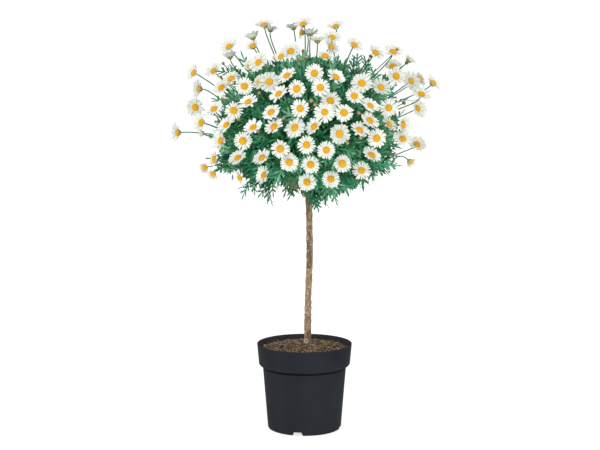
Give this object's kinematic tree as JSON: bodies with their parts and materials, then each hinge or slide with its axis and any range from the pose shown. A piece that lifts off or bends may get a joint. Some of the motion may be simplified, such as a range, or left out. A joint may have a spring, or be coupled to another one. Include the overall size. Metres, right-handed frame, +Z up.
{
  "type": "potted daisy standard",
  "caption": "Marguerite daisy grown as a standard: a bare woody trunk with a round flowering head, in a round plastic nursery pot of soil.",
  "frame": {"origin": "centre of the pot's flat underside, on the surface that the pot stands on", "axes": "+Z up along the pot's axis and the trunk, -Y towards the viewed side, +X to the viewer's right"},
  "size_m": [0.5248, 0.4606, 0.8145],
  "materials": {
    "pot": "satin",
    "soil": "matte",
    "bark": "matte",
    "foliage": "matte"
  },
  "bodies": {
    "root": {"pot": "pot", "potting_soil": "soil", "trunk": "bark", "bough_lower_1": "bark", "bough_lower_2": "bark", "bough_lower_3": "bark", "bough_lower_4": "bark", "bough_lower_5": "bark", "bough_lower_6": "bark", "bough_upper_1": "bark", "bough_upper_2": "bark", "bough_upper_3": "bark", "bough_upper_4": "bark", "crown_top": "foliage", "crown_lower_1": "foliage", "crown_lower_2": "foliage", "crown_lower_3": "foliage", "crown_lower_4": "foliage", "crown_lower_5": "foliage", "crown_lower_6": "foliage", "crown_upper_1": "foliage", "crown_upper_2": "foliage", "crown_upper_3": "foliage", "crown_upper_4": "foliage"}
  },
  "joints": []
}
